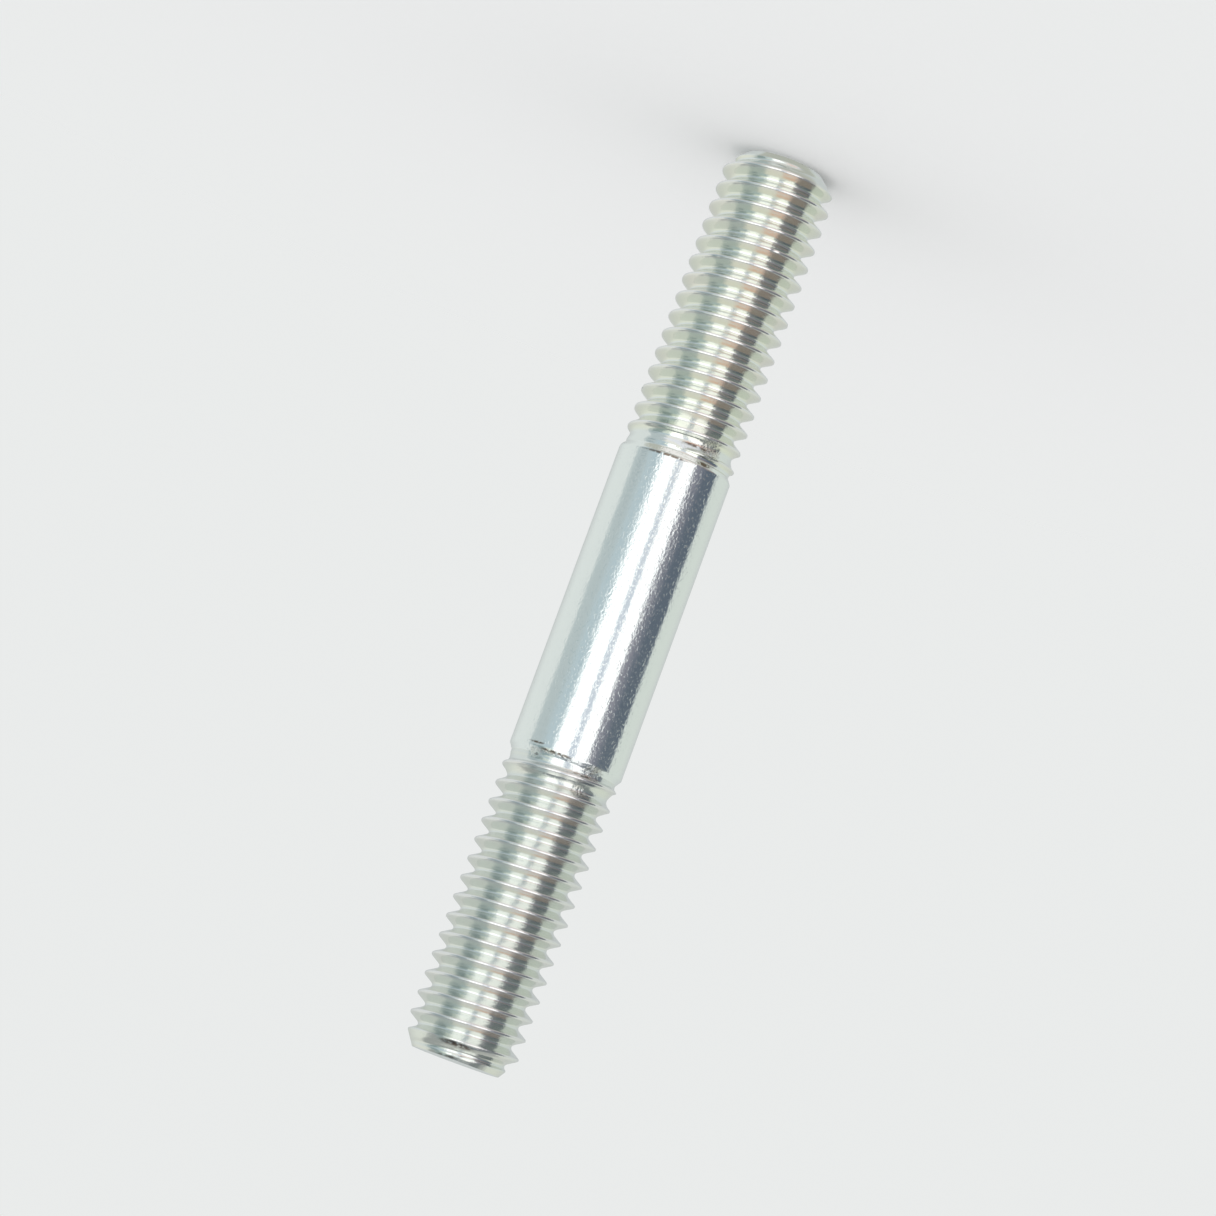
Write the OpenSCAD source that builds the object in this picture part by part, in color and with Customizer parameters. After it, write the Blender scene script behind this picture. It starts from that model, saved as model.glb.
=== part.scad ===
/* [Lengths] */
// Threaded end at the bottom, from its end face to the foot of the shoulder
lower_thread_len = 16; // [10:0.1:20]
// Plain shank, from the foot of one shoulder to the foot of the other
shank_len = 16.4; // [6:0.1:40]
// Threaded end at the top, from the foot of the shoulder to its end face
upper_thread_len = 15.4; // [10:0.1:20]

/* [Shank] */
// Diameter of the plain shank
shank_d = 5.86; // [5.7:0.02:6.4]
// Bevel of each shoulder, along the axis
shoulder_bevel = 0.3; // [0.1:0.05:0.6]

/* [Thread] */
// Diameter over the thread crests
crest_d = 5.84; // [5.7:0.02:5.98]
// Distance from one crest to the next along the axis
pitch = 1; // [0.75:0.05:1.25]
// Included angle between the two flanks of the thread
flank_angle = 60; // [55:1:65]
// Width of the flat on top of each crest
crest_flat = 0.11; // [0.06:0.01:0.2]
// Width of the flat at the bottom of each groove
root_flat = 0.21; // [0.1:0.01:0.25]

/* [Run-out] */
// Diameter of the blank that the thread was rolled on, bare for a moment at each shoulder
blank_d = 5.44; // [5.2:0.02:5.6]
// Length of that bare neck
neck_len = 0.15; // [0.1:0.05:1]
// Length over which the crest sinks to the blank beside the neck
crest_runout = 0.2; // [0.2:0.1:3]
// Length over which the groove rises to the blank beside the neck
groove_runout = 1.8; // [0.5:0.1:4]

/* [Ends] */
// How far inside the groove bottom the rim of the lower end face lies
lower_rim_inset = 0.3; // [0.04:0.02:0.5]
// Chamfer at the lower end, along the axis
lower_chamfer = 0.85; // [0.6:0.05:1.2]
// Angle round the axis at which the crest would leave the lower end face
lower_start = 310; // [0:1:359]
// How far inside the groove bottom the rim of the upper end face lies
upper_rim_inset = 0.08; // [0.04:0.02:0.5]
// Chamfer at the upper end, along the axis
upper_chamfer = 1; // [0.6:0.05:1.2]
// Angle round the axis at which the crest would leave the upper end face, counted
// clockwise from +X when looking down on it
upper_start = 142; // [0:1:359]

/* [Hidden] */

total_len = lower_thread_len + shank_len + upper_thread_len;
flank_run = (pitch - crest_flat - root_flat) / 2;
thread_depth = flank_run / tan(flank_angle / 2);
crest_r = crest_d / 2;
root_r = crest_r - thread_depth;
blank_r = blank_d / 2;
shank_r = shank_d / 2;

// Columns of points round each thread
columns = 36;
// Rows of points in one turn: see form_point
ROWS = 6;
// The thread's many-sided ends are this much narrower than the round tip and neck they enter
seat_step = 0.01;
// Facets of the round shank and tips
round_fn = 96;

// Radius of an end chamfer at height z above its end face
function cone_r(z, face_r, chamfer) = face_r + z * (crest_r - face_r) / chamfer;

// Where the end chamfer cuts a flank, from 0 at the groove to 1 at the crest. The flank
// leaves the groove at height z and climbs the axis by run, less than 0 if it goes down.
function cut_share(z, run, face_r, chamfer) =
    let (slope = (crest_r - face_r) / chamfer)
    min(1, max(0, (cone_r(z, face_r, chamfer) - root_r) / (thread_depth - slope * run)));

// Height and radius of one row of the thread form whose crest has its middle at height z.
// Up the axis: groove, chamfer cut, both edges of the crest, chamfer cut, groove.
function form_point(row, z, face_r, chamfer) =
    let (edge = crest_flat / 2,
         groove = edge + flank_run,
         rise = cut_share(z - groove, flank_run, face_r, chamfer),
         fall = cut_share(z + groove, -flank_run, face_r, chamfer))
    row == 0 ? [z - groove, root_r]
    : row == 1 ? [z - groove + rise * flank_run, root_r + rise * thread_depth]
    : row == 2 ? [z - edge, crest_r]
    : row == 3 ? [z + edge, crest_r]
    : row == 4 ? [z + groove - fall * flank_run, root_r + fall * thread_depth]
    : [z + groove, root_r];

// Thread form of radius r after the run-out, at distance left from the neck
function faded_r(r, left) =
    let (runout = r > blank_r ? crest_runout : groove_runout,
         share = min(1, left / runout))
    blank_r + share * (r - blank_r);

function on_circle(i, r, z) = [r * cos(360 * i / columns), r * sin(360 * i / columns), z];

// Right-hand thread from the round tip, height low, up to the neck, height high
module thread(low, high, face_r, chamfer, start) {
    first = floor(low / pitch + start / 360) - 3;
    last = ceil(high / pitch + start / 360) + 2;
    rows = ROWS * (last - first + 1);
    low_r = cone_r(low, face_r, chamfer) - seat_step;
    high_r = blank_r - seat_step;
    grid = [
        for (i = [0 : columns - 1], turn = [first : last], row = [0 : ROWS - 1])
            let (crest_z = (i / columns + turn - start / 360) * pitch,
                 form = form_point(row, crest_z, face_r, chamfer),
                 z = form[0],
                 chamfered_r = min(form[1], cone_r(z, face_r, chamfer)))
            z <= low ? on_circle(i, low_r, low)
            : z >= high ? on_circle(i, high_r, high)
            : on_circle(i, faded_r(chamfered_r, high - z), z)
    ];
    // Two rings carry the ends on, halfway into the tip and halfway into the neck
    low_ring = len(grid);
    high_ring = low_ring + columns;
    deep = low / 2;
    rings = [
        for (i = [0 : columns - 1]) on_circle(i, cone_r(deep, face_r, chamfer) - seat_step, deep),
        for (i = [0 : columns - 1]) on_circle(i, high_r, high + neck_len / 2)
    ];
    points = concat(grid, rings);

    // Past the last column the surface goes on at the first one, one turn further up
    function at(i, j) = i < columns ? i * rows + j : min(j + ROWS, rows - 1);
    // Rows that lie beyond an end are squeezed flat there, and their triangles are left out
    sides = [
        for (i = [0 : columns - 1], j = [0 : rows - 2])
            for (f = [[at(i, j), at(i, j + 1), at(i + 1, j + 1)],
                      [at(i, j), at(i + 1, j + 1), at(i + 1, j)]])
                let (a = points[f[0]], b = points[f[1]], c = points[f[2]])
                if (a != b && b != c && c != a) f
    ];
    ring_sides = [
        for (i = [0 : columns - 1])
            let (next = (i + 1) % columns)
            each [[low_ring + i, i * rows, next * rows, low_ring + next],
                  [high_ring + i, high_ring + next, (next + 1) * rows - 1, (i + 1) * rows - 1]]
    ];
    bottom = [for (i = [0 : columns - 1]) low_ring + i];
    top = [for (i = [columns - 1 : -1 : 0]) high_ring + i];
    polyhedron(points, concat(sides, ring_sides, [bottom, top]));
}

// One threaded end, standing on its end face
module threaded_end(thread_len, rim_inset, chamfer, start) {
    face_r = root_r - rim_inset;
    // The tip is round up to where the chamfer meets the groove bottom
    tip = rim_inset * chamfer / (crest_r - face_r);
    cylinder(h = tip, r1 = face_r, r2 = root_r, $fn = round_fn);
    thread(tip, thread_len - neck_len, face_r, chamfer, start);
}

// Plain shank with its bevelled shoulders and the bare necks beside them
module shank() {
    low = lower_thread_len;
    high = low + shank_len;
    rotate_extrude($fn = round_fn)
        polygon([
            [0, low - neck_len],
            [blank_r, low - neck_len],
            [blank_r, low],
            [shank_r, low + shoulder_bevel],
            [shank_r, high - shoulder_bevel],
            [blank_r, high],
            [blank_r, high + neck_len],
            [0, high + neck_len]
        ]);
}

module stud_bolt() {
    color([0.78, 0.8, 0.79]) {
        threaded_end(lower_thread_len, lower_rim_inset, lower_chamfer, lower_start);
        shank();
        translate([0, 0, total_len])
            rotate([180, 0, 0])
                threaded_end(upper_thread_len, upper_rim_inset, upper_chamfer, upper_start);
    }
}

stud_bolt();
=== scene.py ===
import math

import bmesh
import bpy
import numpy as np
from mathutils import Matrix, Vector


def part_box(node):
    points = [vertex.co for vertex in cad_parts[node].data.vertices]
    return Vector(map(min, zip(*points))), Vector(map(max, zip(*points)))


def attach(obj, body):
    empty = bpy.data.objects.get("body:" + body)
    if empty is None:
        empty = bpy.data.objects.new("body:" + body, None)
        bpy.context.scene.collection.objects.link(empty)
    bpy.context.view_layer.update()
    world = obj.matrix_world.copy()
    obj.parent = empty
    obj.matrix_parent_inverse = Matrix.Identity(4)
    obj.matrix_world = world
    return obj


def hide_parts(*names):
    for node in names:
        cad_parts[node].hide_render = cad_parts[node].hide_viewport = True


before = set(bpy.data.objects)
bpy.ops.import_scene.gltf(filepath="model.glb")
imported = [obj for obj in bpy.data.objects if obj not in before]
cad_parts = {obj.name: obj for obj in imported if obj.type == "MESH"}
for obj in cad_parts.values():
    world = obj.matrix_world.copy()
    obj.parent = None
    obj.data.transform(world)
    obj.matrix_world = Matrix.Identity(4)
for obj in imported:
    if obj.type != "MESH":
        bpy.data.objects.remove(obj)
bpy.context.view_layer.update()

MM = 0.001

# The stud, in millimetres, as its solid has it
TOTAL_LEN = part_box("stud_bolt")[1].z / MM
LOWER_THREAD_LEN = 16.0
UPPER_THREAD_LEN = 15.4
SHANK_R = 2.93
SHOULDER_BEVEL = 0.3
NECK_LEN = 0.15
CREST_R = 2.92
PITCH = 1.0
CREST_FLAT = 0.11
ROOT_FLAT = 0.21
FLANK_SLOPE = 1 / math.tan(math.radians(30))
ROOT_R = CREST_R - (PITCH - CREST_FLAT - ROOT_FLAT) / 2 * FLANK_SLOPE
BLANK_R = 2.72
CREST_RUNOUT = 0.2
GROOVE_RUNOUT = 1.8
LOWER_END = {"rim_r": ROOT_R - 0.3, "chamfer": 0.85, "start": 310.0}
UPPER_END = {"rim_r": ROOT_R - 0.08, "chamfer": 1.0, "start": 142.0}

# Finer form of the metal, in millimetres
CREST_ROUNDING = 0.04
ROOT_ROUNDING = 0.12
EDGE_ROUNDING = 0.03
FACE_HOLLOW = 0.02
CREST_WEAR = 0.012
# How far below the crests the wear reaches, and its waves: turns round and radians per millimetre up
WORN_DEPTH = 0.1
WEAR_WAVES = [(7, 5.1), (11, -3.3)]

# Where the material's attributes lie. An end face stops FACE_INSET inside the groove bottom, and
# reaches FACE_REACH of its hollow deep. The rim starts RIM_DEPTH below the crests.
FACE_INSET = 0.1
FACE_REACH = 1.01
RIM_DEPTH = 0.2
# The film's tint lies only on the flanks that face up, where it is painted reflection colour over the
# real chromate.
# Upward part of the normal at which the film is full, and the film's share on the upper thread
REFLECTION_TINT_SLOPE = 0.6
UPPER_REFLECTION_TINT = 0.6
LOWER_DULLNESS = 0.35
UPPER_DULLNESS = 1.0
# Steepness of a spot's edge: above 1, its middle is full before the very centre
SPOT_FADE = 1.6

# Mesh density
COLUMNS = 128
HALF_TURN = [0.03, 0.06, 0.09, 0.16, 0.24, 0.32, 0.37, 0.41, 0.455]
TURN_ROWS = [-0.5] + [-d for d in reversed(HALF_TURN)] + [0.0] + HALF_TURN
SHANK_ROWS = 36
SHOULDER_ROWS = 18
# From a shoulder's foot: where its fine rows end, in bevels, and the plain rows start, in millimetres
FINE_BEVELS = 2
PLAIN_START = 1
FACE_RINGS = [1.0, 0.985, 0.95, 0.8, 0.6, 0.4, 0.2, 0.0]
SHARP_ANGLE = math.radians(40)
# Distances under which two corners of a face, and then two points of the mesh, are one (metres)
SAME_CORNER = 1e-9
SAME_POINT = 1e-7
# Difference from the shank's radius under which a point is on the shank, which isn't worn
SAME_RADIUS = 1e-6

# Nicks, each with its azimuth (degrees from the camera's side, positive to the photograph's right),
# height, half width and depth in millimetres. A negative depth is a burr.
NICKS = [
    (-86, 13.07, 0.16, 0.10),
    (84, 14.87, 0.22, 0.12),
    (-35, 6.02, 0.12, 0.05),
    (19, 4.83, 0.12, 0.05),
    (70, 42.9, 0.18, 0.10),
    (-82, 16.15, 0.14, -0.05),
]
# Torn and flaked places, each with its azimuth, height and half extents in millimetres
TORN = [
    (33, 15.3, 0.75, 0.55),
    (31, 32.4, 0.65, 0.40),
    (25, 33.45, 0.60, 0.30),
    (-35, 32.4, 0.45, 0.30),
    (-14, 32.17, 0.95, 0.12),
]
# Scuffed places on the shank, each with its azimuth, height and half extents in millimetres
SCUFFED = [
    (-17, 21.3, 0.50, 7.0),
    (23, 21.5, 0.45, 5.5),
]
# Dark lines in the corners by the shoulders and near the upper tip: painted shade, with some grime
# left by the rolling. Each has its azimuth, height and half extents in millimetres
SHADE_SEAMS = [
    (-12, 16.38, 1.50, 0.07),
    (28, 16.17, 0.45, 0.13),
    (14, 15.45, 0.90, 0.08),
    (-34, 31.90, 0.50, 0.06),
    (-13, 32.14, 1.00, 0.07),
    (18, 32.72, 0.70, 0.07),
    (-5, 47.08, 1.10, 0.13),
    (-12, 47.74, 0.90, 0.06),
]


def smooth_max(a, b, width):
    """Larger of a and b, with the corner between them rounded."""
    return (a + b + np.sqrt((a - b) ** 2 + width**2)) / 2


def smooth_min(a, b, width):
    """Smaller of a and b, with the corner between them rounded."""
    return -smooth_max(-a, -b, width)


def form_radius(distance):
    """Radius of the full thread at a distance from the middle of the nearest crest."""
    flank = CREST_R + (CREST_FLAT / 2 - distance) * FLANK_SLOPE
    return smooth_min(smooth_max(flank, ROOT_R, ROOT_ROUNDING), CREST_R, CREST_ROUNDING)


def thread_radius(height, crest_height, thread_len, end):
    """Radius of a threaded end at a height above its end face."""
    distance = np.abs((height - crest_height + PITCH / 2) % PITCH - PITCH / 2)
    full = form_radius(distance)
    left = np.maximum(thread_len - NECK_LEN - height, 0)
    runout = np.where(full > BLANK_R, CREST_RUNOUT, GROOVE_RUNOUT)
    faded = BLANK_R + np.minimum(left / runout, 1) * (full - BLANK_R)
    cone = end["rim_r"] + height * (CREST_R - end["rim_r"]) / end["chamfer"]
    return smooth_min(faded, cone, EDGE_ROUNDING)


def thread_grid(thread_len, end, turn_sign):
    """Heights above the end face and radii of a threaded end, one line of points per column.

    turn_sign is 1 for the end on the floor, and -1 for the end that is turned over.
    """
    turns = np.arange(-3, int(thread_len / PITCH) + 4)
    rows = (turns[:, None] + np.array(TURN_ROWS)[None, :]).ravel()
    angle = np.arange(COLUMNS) / COLUMNS
    crest = (turn_sign * angle - end["start"] / 360) * PITCH
    height = np.clip(crest[:, None] + rows[None, :] * PITCH, 0, thread_len - NECK_LEN)
    radius = thread_radius(height, crest[:, None], thread_len, end)
    return height, radius


def around(azimuth, z, spot_azimuth, spot_z):
    """Distances round the stud and up it, in millimetres, from a spot."""
    arc = np.radians((azimuth - spot_azimuth + 180) % 360 - 180) * CREST_R
    return arc, z - spot_z


def worn(z, radius):
    """Radii with the nicks and the uneven wear of the crests."""
    theta = 360 * np.arange(len(z)) / COLUMNS
    azimuth = (-90 - theta)[:, None]
    turn = np.radians(azimuth)
    first, second = [np.sin(turn * round_it + z * up_it) for round_it, up_it in WEAR_WAVES]
    wave = first * second
    on_crest = np.clip((radius - CREST_R + WORN_DEPTH) / WORN_DEPTH, 0, 1)
    on_crest = on_crest * (np.abs(radius - SHANK_R) > SAME_RADIUS)
    radius = radius - CREST_WEAR * (0.5 + 0.5 * wave) * on_crest
    for spot_azimuth, spot_z, half_width, depth in NICKS:
        arc, up = around(azimuth, z, spot_azimuth, spot_z)
        dent = depth * np.exp(-(arc**2 + up**2) / half_width**2)
        radius = radius - dent * np.clip((radius - ROOT_R) / (CREST_R - ROOT_R), 0, 1) ** 2
    return radius


def add_grid(bm, z, radius, seam_shift):
    """Adds a tube of points, which past its last column goes on seam_shift rows further up.

    Corners that fall on each other, as where a thread is clipped at its ends, count as one.
    """
    columns, rows = z.shape
    radius = worn(z, radius)
    verts = []
    for i in range(columns):
        angle = 2 * math.pi * i / columns
        c, s = math.cos(angle), math.sin(angle)
        verts.append([
            bm.verts.new((radius[i, j] * c * MM, radius[i, j] * s * MM, z[i, j] * MM))
            for j in range(rows)
        ])
    for i in range(columns):
        for j in range(rows - 1):
            if i + 1 < columns:
                near = verts[i + 1][j], verts[i + 1][j + 1]
            else:
                low = min(max(j + seam_shift, 0), rows - 1)
                high = min(max(j + 1 + seam_shift, 0), rows - 1)
                near = verts[0][low], verts[0][high]
            unlike = []
            for corner in (verts[i][j], near[0], near[1], verts[i][j + 1]):
                if all((corner.co - other.co).length > SAME_CORNER for other in unlike):
                    unlike.append(corner)
            if len(unlike) > 2:
                bm.faces.new(unlike)


def face_grid(rim, z_face, inward):
    """An end face, slightly hollow, from the chamfer's rim to the middle."""
    rings = np.array(FACE_RINGS)
    tile = np.ones((COLUMNS, 1))
    z = z_face + inward * FACE_HOLLOW * (1 - rings**2)
    return tile * z, rim[:, None] * rings


def shank_grid():
    """The shank with its bevelled shoulders and the bare necks beside them."""
    foot = LOWER_THREAD_LEN - NECK_LEN
    head = TOTAL_LEN - UPPER_THREAD_LEN + NECK_LEN
    fine = SHOULDER_BEVEL * FINE_BEVELS
    z = np.concatenate([
        np.linspace(foot, LOWER_THREAD_LEN + fine, SHOULDER_ROWS),
        np.linspace(LOWER_THREAD_LEN + PLAIN_START, head - NECK_LEN - PLAIN_START, SHANK_ROWS),
        np.linspace(head - NECK_LEN - fine, head, SHOULDER_ROWS),
    ])
    edge = np.minimum(z - LOWER_THREAD_LEN, head - NECK_LEN - z)
    bevel = BLANK_R + np.maximum(edge, 0) * (SHANK_R - BLANK_R) / SHOULDER_BEVEL
    tile = np.ones((COLUMNS, 1))
    return tile * z, tile * np.minimum(bevel, SHANK_R)


def add_object(name, data):
    """Puts a mesh or a camera into the scene."""
    thing = bpy.data.objects.new(name, data)
    bpy.context.collection.objects.link(thing)
    return thing


def build_stud():
    """The stud as one mesh: both threads, their end faces and the shank, joined where they meet."""
    bm = bmesh.new()
    per_turn = len(TURN_ROWS)
    height, radius = thread_grid(LOWER_THREAD_LEN, LOWER_END, 1)
    add_grid(bm, height, radius, per_turn)
    add_grid(bm, *face_grid(radius[:, 0], 0, 1), 0)
    height, radius = thread_grid(UPPER_THREAD_LEN, UPPER_END, -1)
    add_grid(bm, TOTAL_LEN - height[:, ::-1], radius[:, ::-1], per_turn)
    add_grid(bm, *face_grid(radius[:, 0], TOTAL_LEN, -1), 0)
    add_grid(bm, *shank_grid(), 0)
    bmesh.ops.remove_doubles(bm, verts=bm.verts, dist=SAME_POINT)
    bmesh.ops.recalc_face_normals(bm, faces=bm.faces)
    mesh = bpy.data.meshes.new("stud")
    bm.to_mesh(mesh)
    bm.free()
    mesh.shade_smooth()
    mesh.set_sharp_from_angle(angle=SHARP_ANGLE)
    mark_surface(mesh)
    return add_object("stud", mesh)


def spots(azimuth, z, places):
    """1 in the middle of each place, and 0 from its edge on."""
    cover = np.zeros(len(z))
    for spot_azimuth, spot_z, half_arc, half_z in places:
        arc, up = around(azimuth, z, spot_azimuth, spot_z)
        reach = np.hypot(arc / half_arc, up / half_z)
        cover = np.maximum(cover, np.clip(SPOT_FADE - SPOT_FADE * reach**2, 0, 1))
    return cover


def mark_surface(mesh):
    """Point attributes that the material reads.

    dull: how far the bright zinc is dulled; film: chromate tint on the flanks that face up, painted
    reflection colour there; rim: the threads near their crests; torn and scuffed: the marks listed
    above; seam: the dark lines listed above, painted shade with some grime; end_face: both ends.
    """
    co = np.empty(len(mesh.vertices) * 3)
    mesh.vertices.foreach_get("co", co)
    x, y, z = (co.reshape(-1, 3) / MM).T
    azimuth = np.degrees(np.arctan2(-x, -y))
    radius = np.hypot(x, y)
    normal = np.empty(len(mesh.vertices) * 3)
    mesh.vertex_normals.foreach_get("vector", normal)
    lower, upper = z < LOWER_THREAD_LEN, z > TOTAL_LEN - UPPER_THREAD_LEN
    face_depth = FACE_HOLLOW * FACE_REACH
    face = ((z < face_depth) | (z > TOTAL_LEN - face_depth)) & (radius < ROOT_R - FACE_INSET)
    facing_up = np.clip(normal.reshape(-1, 3)[:, 2] / REFLECTION_TINT_SLOPE, 0, 1) * ~face
    rim = np.clip((radius - CREST_R + RIM_DEPTH) / RIM_DEPTH, 0, 1)
    values = {
        "dull": LOWER_DULLNESS * lower + UPPER_DULLNESS * upper,
        "film_reflection_tint": facing_up * (lower + UPPER_REFLECTION_TINT * upper),
        "rim": rim * (lower | upper),
        "torn": spots(azimuth, z, TORN),
        "scuffed": spots(azimuth, z, SCUFFED) * ~(lower | upper),
        "seam_shade": spots(azimuth, z, SHADE_SEAMS) * ~face,
        "end_face": face.astype(float),
    }
    for name, value in values.items():
        attribute = mesh.attributes.new(name, "FLOAT", "POINT")
        attribute.data.foreach_set("value", value.astype(np.float32))


class Nodes:
    """Short forms for a material's nodes."""

    def __init__(self, name):
        self.material = bpy.data.materials.new(name)
        self.material.use_nodes = True
        self.nodes = self.material.node_tree.nodes
        self.links = self.material.node_tree.links

    def set(self, socket, value):
        """Links value if it is a socket, and writes it otherwise."""
        if isinstance(value, bpy.types.NodeSocket):
            self.links.new(value, socket)
        else:
            socket.default_value = value

    def noise(self, scale, detail, stretch=(1, 1, 1)):
        place = self.nodes.new("ShaderNodeTexCoord")
        mapping = self.nodes.new("ShaderNodeMapping")
        mapping.inputs["Scale"].default_value = stretch
        texture = self.nodes.new("ShaderNodeTexNoise")
        texture.inputs["Scale"].default_value = scale
        texture.inputs["Detail"].default_value = detail
        self.links.new(place.outputs["Object"], mapping.inputs["Vector"])
        self.links.new(mapping.outputs["Vector"], texture.inputs["Vector"])
        return texture.outputs["Fac"]

    def attribute(self, name):
        node = self.nodes.new("ShaderNodeAttribute")
        node.attribute_name = name
        return node.outputs["Fac"]

    def spread(self, value, low, high, to_low=0.0, to_high=1.0):
        """Maps low to high onto to_low to to_high, and goes no further at either end."""
        node = self.nodes.new("ShaderNodeMapRange")
        ends = {"From Min": low, "From Max": high, "To Min": to_low, "To Max": to_high}
        for name, number in ends.items():
            node.inputs[name].default_value = number
        self.links.new(value, node.inputs["Value"])
        return node.outputs["Result"]

    def math(self, operation, a, b):
        node = self.nodes.new("ShaderNodeMath")
        node.operation = operation
        self.set(node.inputs[0], a)
        self.set(node.inputs[1], b)
        return node.outputs["Value"]

    def blend(self, factor, a, b):
        node = self.nodes.new("ShaderNodeMix")
        node.data_type = "RGBA"
        self.set(node.inputs["Factor"], factor)
        self.set(node.inputs["A"], a if isinstance(a, bpy.types.NodeSocket) else (*a, 1))
        self.set(node.inputs["B"], b if isinstance(b, bpy.types.NodeSocket) else (*b, 1))
        return node.outputs["Result"]

    def bump(self, height, depth_mm, strength, below=None):
        node = self.nodes.new("ShaderNodeBump")
        node.inputs["Distance"].default_value = depth_mm * MM
        self.set(node.inputs["Strength"], strength)
        self.links.new(height, node.inputs["Height"])
        if below is not None:
            self.links.new(below, node.inputs["Normal"])
        return node.outputs["Normal"]


# Clear chromate over bright zinc
ZINC = (0.80, 0.83, 0.83)
DULL = (0.72, 0.75, 0.75)
# Chromate tint, which on the flanks that face up is also painted reflection colour
FILM_REFLECTION_TINT = (0.81, 0.82, 0.71)
FILM_PINK = (0.84, 0.78, 0.72)
RIM_LILAC = (0.81, 0.785, 0.81)
FILM_GOLD = (0.80, 0.75, 0.60)
PIT = (0.38, 0.38, 0.37)
# Painted shade, with some grime, in the dark seam lines
SEAM_SHADE_GRIME = (0.20, 0.16, 0.13)
LILAC_SHARE = 0.6

# Noise behind each mark: scale per metre, detail, and factors on X, Y and Z (above 1 is finer)
FLAKE_NOISE = (6000, 4)
PINK_NOISE = (380, 1, (1, 1, 2))
GOLD_NOISE = (1500, 1)
SEAM_SHADE_NOISE = (4200, 3)
SHEEN_NOISE = (2600, 3)
GRAIN_NOISE = (6200, 5, (1, 1, 0.7))
SPECK_NOISE = (9500, 4, (1, 1, 0.7))
SCUFF_NOISE = (8500, 3, (1, 1, 0.8))
FACE_NOISE = (3000, 3)
# The noise's span and the values it is spread over, which are 0 to 1 where only the span is given
PINK_SPREAD = (0.50, 0.72, 0, 0.5)
GOLD_SPREAD = (0.48, 0.62, 0, 0.4)
PIT_SPREAD = (0.56, 0.62)
SEAM_SHADE_SPREAD = (0.34, 0.50)
ROUGHNESS_SPREAD = (0.3, 0.7, 0.06, 0.14)
SPECK_SPREAD = (0.58, 0.72, 1, 0)
# Bump depths, in millimetres
GRAIN_DEPTH = 0.007
SPECK_DEPTH = 0.0045
SCUFF_DEPTH = 0.014
FLAKE_DEPTH = 0.06
FACE_GRAIN_DEPTH = 0.012
# What full dullness adds to the roughness, and the grain's share on both threads
DULL_ROUGHNESS = 0.06
DULL_GRAIN = 0.5


def zinc_material():
    """Bright zinc under a thin film, with the marks that the attributes place."""
    n = Nodes("bright_zinc")
    shader = n.nodes["Principled BSDF"]
    film_reflection_tint, torn, seam_shade = n.attribute("film_reflection_tint"), n.attribute("torn"), n.attribute("seam_shade")
    dull, end_face = n.attribute("dull"), n.attribute("end_face")
    flakes = n.noise(*FLAKE_NOISE)

    colour = n.blend(dull, ZINC, DULL)
    # Painted reflection colour: the chromate tint, laid on the flanks that face up
    colour = n.blend(film_reflection_tint, colour, FILM_REFLECTION_TINT)
    colour = n.blend(n.math("MULTIPLY", n.attribute("rim"), LILAC_SHARE), colour, RIM_LILAC)
    pink = n.math("MULTIPLY", film_reflection_tint, n.spread(n.noise(*PINK_NOISE), *PINK_SPREAD))
    colour = n.blend(pink, colour, FILM_PINK)
    gold = n.math("MULTIPLY", torn, n.spread(n.noise(*GOLD_NOISE), *GOLD_SPREAD))
    colour = n.blend(gold, colour, FILM_GOLD)
    pits = n.math("MULTIPLY", torn, n.spread(flakes, *PIT_SPREAD))
    colour = n.blend(pits, colour, PIT)
    # Painted shade, with some grime, along the dark seam lines
    shade_and_grime = n.math("MULTIPLY", seam_shade, n.spread(n.noise(*SEAM_SHADE_NOISE), *SEAM_SHADE_SPREAD))
    colour = n.blend(shade_and_grime, colour, SEAM_SHADE_GRIME)
    n.set(shader.inputs["Base Color"], colour)

    n.set(shader.inputs["Metallic"], 1.0)
    uneven = n.spread(n.noise(*SHEEN_NOISE), *ROUGHNESS_SPREAD)
    dulled = n.math("MULTIPLY", dull, DULL_ROUGHNESS)
    n.set(shader.inputs["Roughness"], n.math("ADD", uneven, dulled))

    smoother = n.spread(dull, 0, LOWER_DULLNESS, 1, DULL_GRAIN)
    grain = n.bump(n.noise(*GRAIN_NOISE), GRAIN_DEPTH, smoother)
    pinpricks = n.spread(n.noise(*SPECK_NOISE), *SPECK_SPREAD)
    specks = n.bump(pinpricks, SPECK_DEPTH, smoother, grain)
    scuffs = n.bump(n.noise(*SCUFF_NOISE), SCUFF_DEPTH, n.attribute("scuffed"), specks)
    flaked = n.bump(flakes, FLAKE_DEPTH, torn, scuffs)
    normal = n.bump(n.noise(*FACE_NOISE), FACE_GRAIN_DEPTH, end_face, flaked)
    n.set(shader.inputs["Normal"], normal)
    return n.material


stud = build_stud()
stud.data.materials.append(zinc_material())
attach(stud, "root")
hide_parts("stud_bolt")

# Camera: fitted to the photograph. It looks along +Y and slightly down, rolled nearly upside down.
VIEW_DISTANCE = 0.2159
VIEW_ELEVATION = math.radians(8.04)
VIEW_ROLL = math.radians(-159.73)
VIEW_AIM = Vector((0.000665, 0, 0.02416))
LENS = 128.7
SENSOR_WIDTH = 36
CLIP_START = 0.01
CLIP_END = 5


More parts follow.
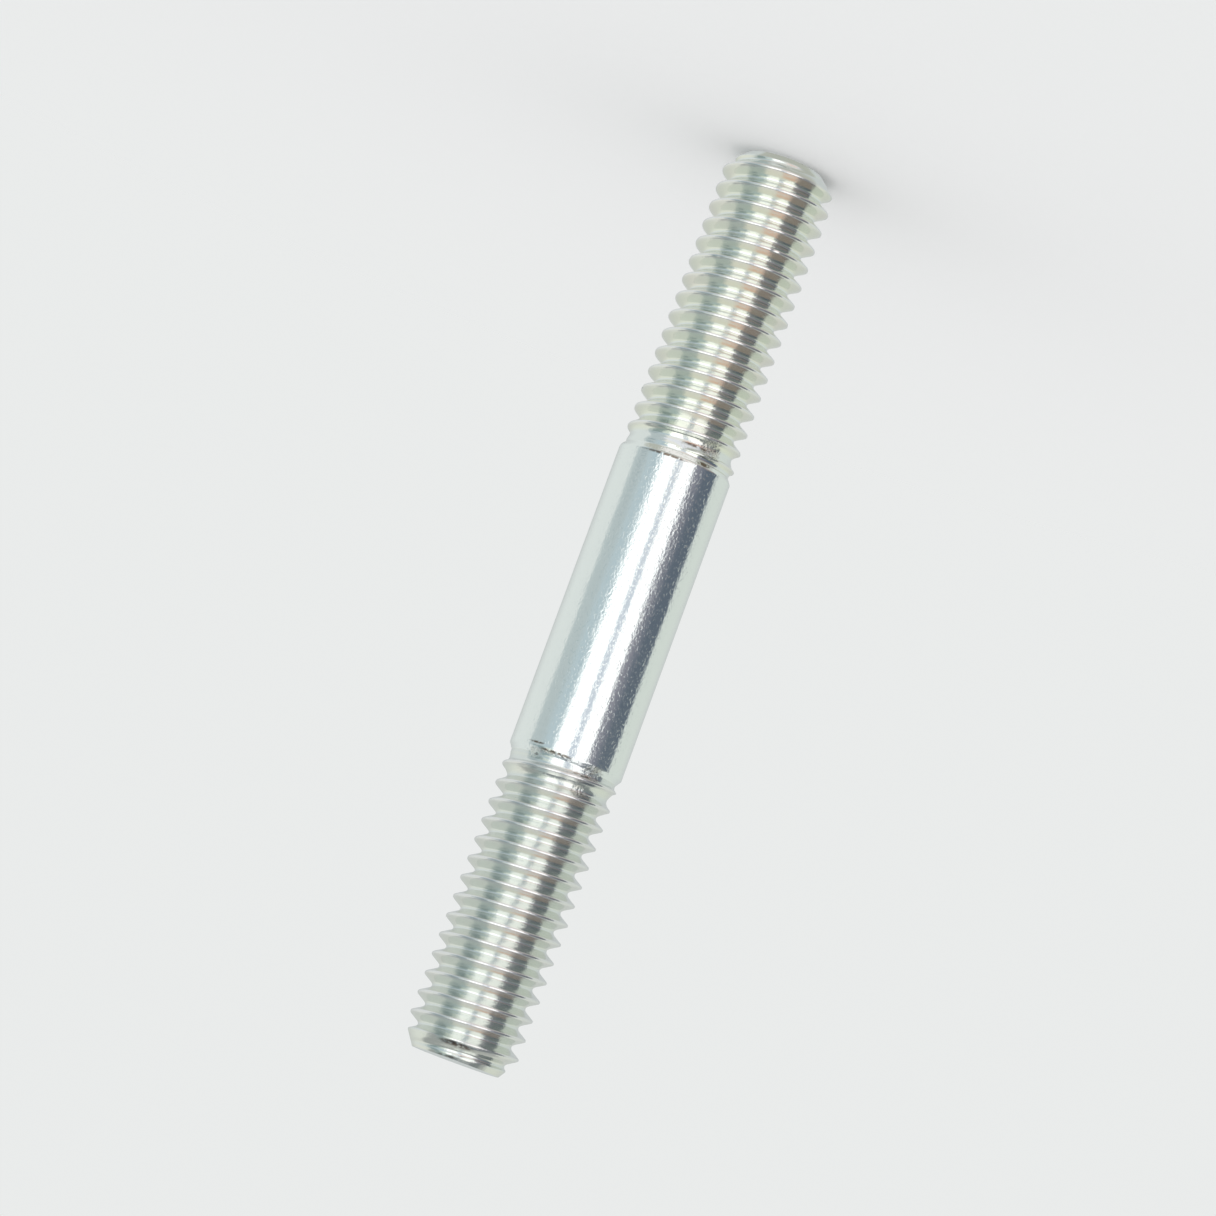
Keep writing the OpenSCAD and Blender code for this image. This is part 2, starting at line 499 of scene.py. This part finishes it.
def add_camera():
    """The camera, behind its aim by VIEW_DISTANCE."""
    back = Vector((0, -math.cos(VIEW_ELEVATION), math.sin(VIEW_ELEVATION)))
    camera = add_object("camera", bpy.data.cameras.new("camera"))
    camera.data.lens = LENS
    camera.data.sensor_width = SENSOR_WIDTH
    camera.data.clip_start = CLIP_START
    camera.data.clip_end = CLIP_END
    turn = (-back).to_track_quat("-Z", "Y").to_matrix() @ Matrix.Rotation(VIEW_ROLL, 3, "Z")
    camera.matrix_world = Matrix.Translation(VIEW_AIM + back * VIEW_DISTANCE) @ turn.to_4x4()
    bpy.context.scene.camera = camera


add_camera()

# What the metal reflects: a studio of sheets, cards and softboxes, guessed to suit the photograph's
# view, as patches of light on a dome that the camera doesn't see. Each has its span round the stud
# (degrees from the camera's side, positive to the photograph's right), its span up and down (degrees,
# positive towards the stud's upper end), how wide its edges fade round the stud and up and down, and
# its light. Later ones lie over earlier ones.
LEFT_SHEET = (0.84, 0.88, 0.85)
PATCHES = [
    ("right sheet", (95, 200), (-90, 90), (4, 20), (6, 6), (0.76, 0.81, 0.75)),
    ("falling off behind", (148, 212), (-90, 90), (50, 50), (6, 6), (0.62, 0.65, 0.64)),
    ("left grey card", (-86, -10), (-60, 75), (2, 4), (6, 6), (0.56, 0.63, 0.63)),
    ("blue of the left card", (-56, -10), (-24, 75), (20, 4), (8, 6), (0.56, 0.67, 0.71)),
    ("dark strip of the left card", (-76, -49), (-1, 60), (4, 4), (8, 6), (0.31, 0.39, 0.40)),
    ("foot of the dark strip", (-78, -62), (-20, -12), (4, 4), (4, 3), (0.31, 0.38, 0.41)),
    ("glow beside the left softbox", (-49, -30), (0, 60), (4, 8), (6, 6), (0.74, 0.82, 0.76)),
    ("left softbox", (-32, 0), (-22, 59), (10, 4), (16, 6), (1.50, 1.52, 1.50)),
    ("low corner of the left softbox", (-46, -28), (-12.5, -7), (8, 4), (2, 4), (0.50, 0.61, 0.65)),
    ("gap between the softboxes", (0, 12), (-14, 59), (3, 4), (6, 6), (0.68, 0.74, 0.82)),
    ("right softbox", (12, 39), (-22, 59), (4, 6), (16, 6), (1.50, 1.49, 1.48)),
    ("foot of the gap", (-3, 16), (-36, -12), (5, 6), (10, 4), (0.90, 0.88, 0.85)),
    ("slate card", (39, 93), (-60, 72), (5, 2), (6, 6), (0.13, 0.16, 0.20)),
    ("top of the slate card", (39, 93), (-4, 72), (5, 2), (3, 6), (0.23, 0.26, 0.27)),
    ("soft edge of the slate card", (39, 56), (-60, 72), (5, 26), (6, 6), (0.29, 0.29, 0.335)),
    ("top of the right softbox", (13, 47), (-3, 59), (6, 8), (3, 6), (1.40, 1.40, 1.38)),
    ("foot of the slate card", (46, 92), (-60, -18), (4, 20), (6, 8), (0.34, 0.29, 0.27)),
    ("pale floor", (-44, 40), (-60, -24), (8, 10), (6, 10), (1.00, 0.98, 0.90)),
    ("pink floor", (3, 44), (-41, -29), (12, 14), (4, 7), (0.96, 0.65, 0.54)),
    ("near floor", (-60, 60), (-62, -43), (14, 14), (6, 2), (0.98, 0.98, 1.02)),
    ("floor below the slate card", (46, 92), (-60, -42), (16, 8), (6, 3), (0.56, 0.58, 0.61)),
    ("floor under the foot", (-200, 200), (-94, -52), (4, 4), (4, 6), (0.54, 0.55, 0.48)),
    ("lamp under the foot", (-80, 80), (-82, -67), (10, 10), (4, 4), (1.05, 1.00, 0.96)),
    ("slate roof", (-75, 75), (62, 74), (10, 10), (5, 5), (0.20, 0.23, 0.26)),
    ("grey roof at the left", (-150, -76), (46, 90), (8, 6), (6, 6), (0.38, 0.41, 0.42)),
    ("grey roof at the right", (86, 150), (46, 90), (6, 8), (6, 6), (0.46, 0.48, 0.48)),
    ("top of the roof", (-200, 200), (74, 90), (4, 4), (6, 6), (0.48, 0.50, 0.50)),
]
DOME_R = 0.6
DOME_STEP = 1.5
# Elevation of the dome's last ring, which leaves a small hole at each pole
DOME_TOP = 88.5


def inside(value, span, fades):
    """1 well inside a span of degrees and 0 well outside it, with a fade at each edge."""
    middle, half = (span[0] + span[1]) / 2, (span[1] - span[0]) / 2
    offset = (value - middle + 180) % 360 - 180
    low = np.clip((offset + half) / fades[0] + 0.5, 0, 1)
    high = np.clip((half - offset) / fades[1] + 0.5, 0, 1)
    t = np.minimum(low, high)
    return t * t * (3 - 2 * t)


def dome_light(azimuth, elevation):
    """Light of the dome in each direction."""
    light = np.ones(azimuth.shape + (3,)) * np.array(LEFT_SHEET)
    for _, round_span, up_span, round_fades, up_fades, colour in PATCHES:
        cover = inside(azimuth, round_span, round_fades) * inside(elevation, up_span, up_fades)
        light = light * (1 - cover[..., None]) + np.array(colour) * cover[..., None]
    return light


def dome_mesh():
    """A sphere round the stud's middle, with its light as a colour attribute."""
    round_it = np.arange(-180, 180, DOME_STEP)
    up_it = np.arange(-DOME_TOP, DOME_TOP + DOME_STEP / 2, DOME_STEP)
    azimuth, elevation = np.meshgrid(round_it, up_it)
    light = dome_light(azimuth, elevation)
    a, e = np.radians(azimuth), np.radians(elevation)
    x = -np.sin(a) * np.cos(e) * DOME_R
    y = -np.cos(a) * np.cos(e) * DOME_R
    z = np.sin(e) * DOME_R + TOTAL_LEN / 2 * MM
    co = np.stack([x, y, z], -1)
    rows, columns = azimuth.shape
    faces = []
    for low in range(0, (rows - 1) * columns, columns):
        high = low + columns
        for i in range(columns):
            after = (i + 1) % columns
            faces.append((low + i, low + after, high + after, high + i))
    mesh = bpy.data.meshes.new("reflection_dome")
    mesh.from_pydata(co.reshape(-1, 3).tolist(), [], faces)
    colours = np.concatenate([light, np.ones(azimuth.shape + (1,))], -1)
    attribute = mesh.color_attributes.new("light", "FLOAT_COLOR", "POINT")
    attribute.data.foreach_set("color", colours.ravel())
    return mesh


def add_dome():
    """The dome, which glows and shows only in what reflects it."""
    mesh = dome_mesh()
    n = Nodes("reflection_dome")
    n.nodes.clear()
    out = n.nodes.new("ShaderNodeOutputMaterial")
    emit = n.nodes.new("ShaderNodeEmission")
    colour = n.nodes.new("ShaderNodeAttribute")
    colour.attribute_name = "light"
    n.set(emit.inputs["Color"], colour.outputs["Color"])
    n.set(out.inputs["Surface"], emit.outputs["Emission"])
    mesh.materials.append(n.material)
    dome = add_object("reflection_dome", mesh)
    dome.visible_camera = False
    dome.visible_diffuse = False
    dome.visible_shadow = False


add_dome()

# Floor: plain and pale near the stud, and clear further out, where the world goes on in its colour
FLOOR_R = 0.09
FLOOR_SIDES = 96
# Share of its radius out to which the floor is solid
FLOOR_SOLID = 0.15
PAPER = (0.90, 0.90, 0.90)
BACKGROUND = (0.82, 0.835, 0.83)
# The world's light on the stud and the floor
AROUND = (0.92, 0.93, 0.93)


def add_floor():
    """A round sheet that catches the stud's shadow, and that the metal doesn't reflect."""
    bm = bmesh.new()
    bmesh.ops.create_circle(bm, cap_ends=True, segments=FLOOR_SIDES, radius=FLOOR_R)
    mesh = bpy.data.meshes.new("floor")
    bm.to_mesh(mesh)
    bm.free()
    n = Nodes("floor")
    n.nodes.clear()
    out = n.nodes.new("ShaderNodeOutputMaterial")
    paper = n.nodes.new("ShaderNodeBsdfDiffuse")
    n.set(paper.inputs["Color"], (*PAPER, 1))
    clear = n.nodes.new("ShaderNodeBsdfTransparent")
    mix = n.nodes.new("ShaderNodeMixShader")
    place = n.nodes.new("ShaderNodeTexCoord")
    distance = n.nodes.new("ShaderNodeVectorMath")
    distance.operation = "LENGTH"
    n.set(distance.inputs[0], place.outputs["Object"])
    clearing = n.spread(distance.outputs["Value"], FLOOR_R * FLOOR_SOLID, FLOOR_R)
    n.set(mix.inputs["Fac"], clearing)
    n.set(mix.inputs[1], paper.outputs["BSDF"])
    n.set(mix.inputs[2], clear.outputs["BSDF"])
    n.set(out.inputs["Surface"], mix.outputs["Shader"])
    mesh.materials.append(n.material)
    floor = add_object("floor", mesh)
    floor.visible_glossy = False


def add_world():
    """A plain world: the camera sees BACKGROUND, and everything else is lit by AROUND."""
    world = bpy.data.worlds.new("studio")
    bpy.context.scene.world = world
    world.use_nodes = True
    nodes, links = world.node_tree.nodes, world.node_tree.links
    nodes["Background"].inputs["Color"].default_value = (*AROUND, 1)
    seen = nodes.new("ShaderNodeBackground")
    seen.inputs["Color"].default_value = (*BACKGROUND, 1)
    path = nodes.new("ShaderNodeLightPath")
    mix = nodes.new("ShaderNodeMixShader")
    links.new(path.outputs["Is Camera Ray"], mix.inputs["Fac"])
    links.new(nodes["Background"].outputs["Background"], mix.inputs[1])
    links.new(seen.outputs["Background"], mix.inputs[2])
    links.new(mix.outputs["Shader"], nodes["World Output"].inputs["Surface"])


add_floor()
add_world()
bpy.context.scene.view_settings.view_transform = "Standard"
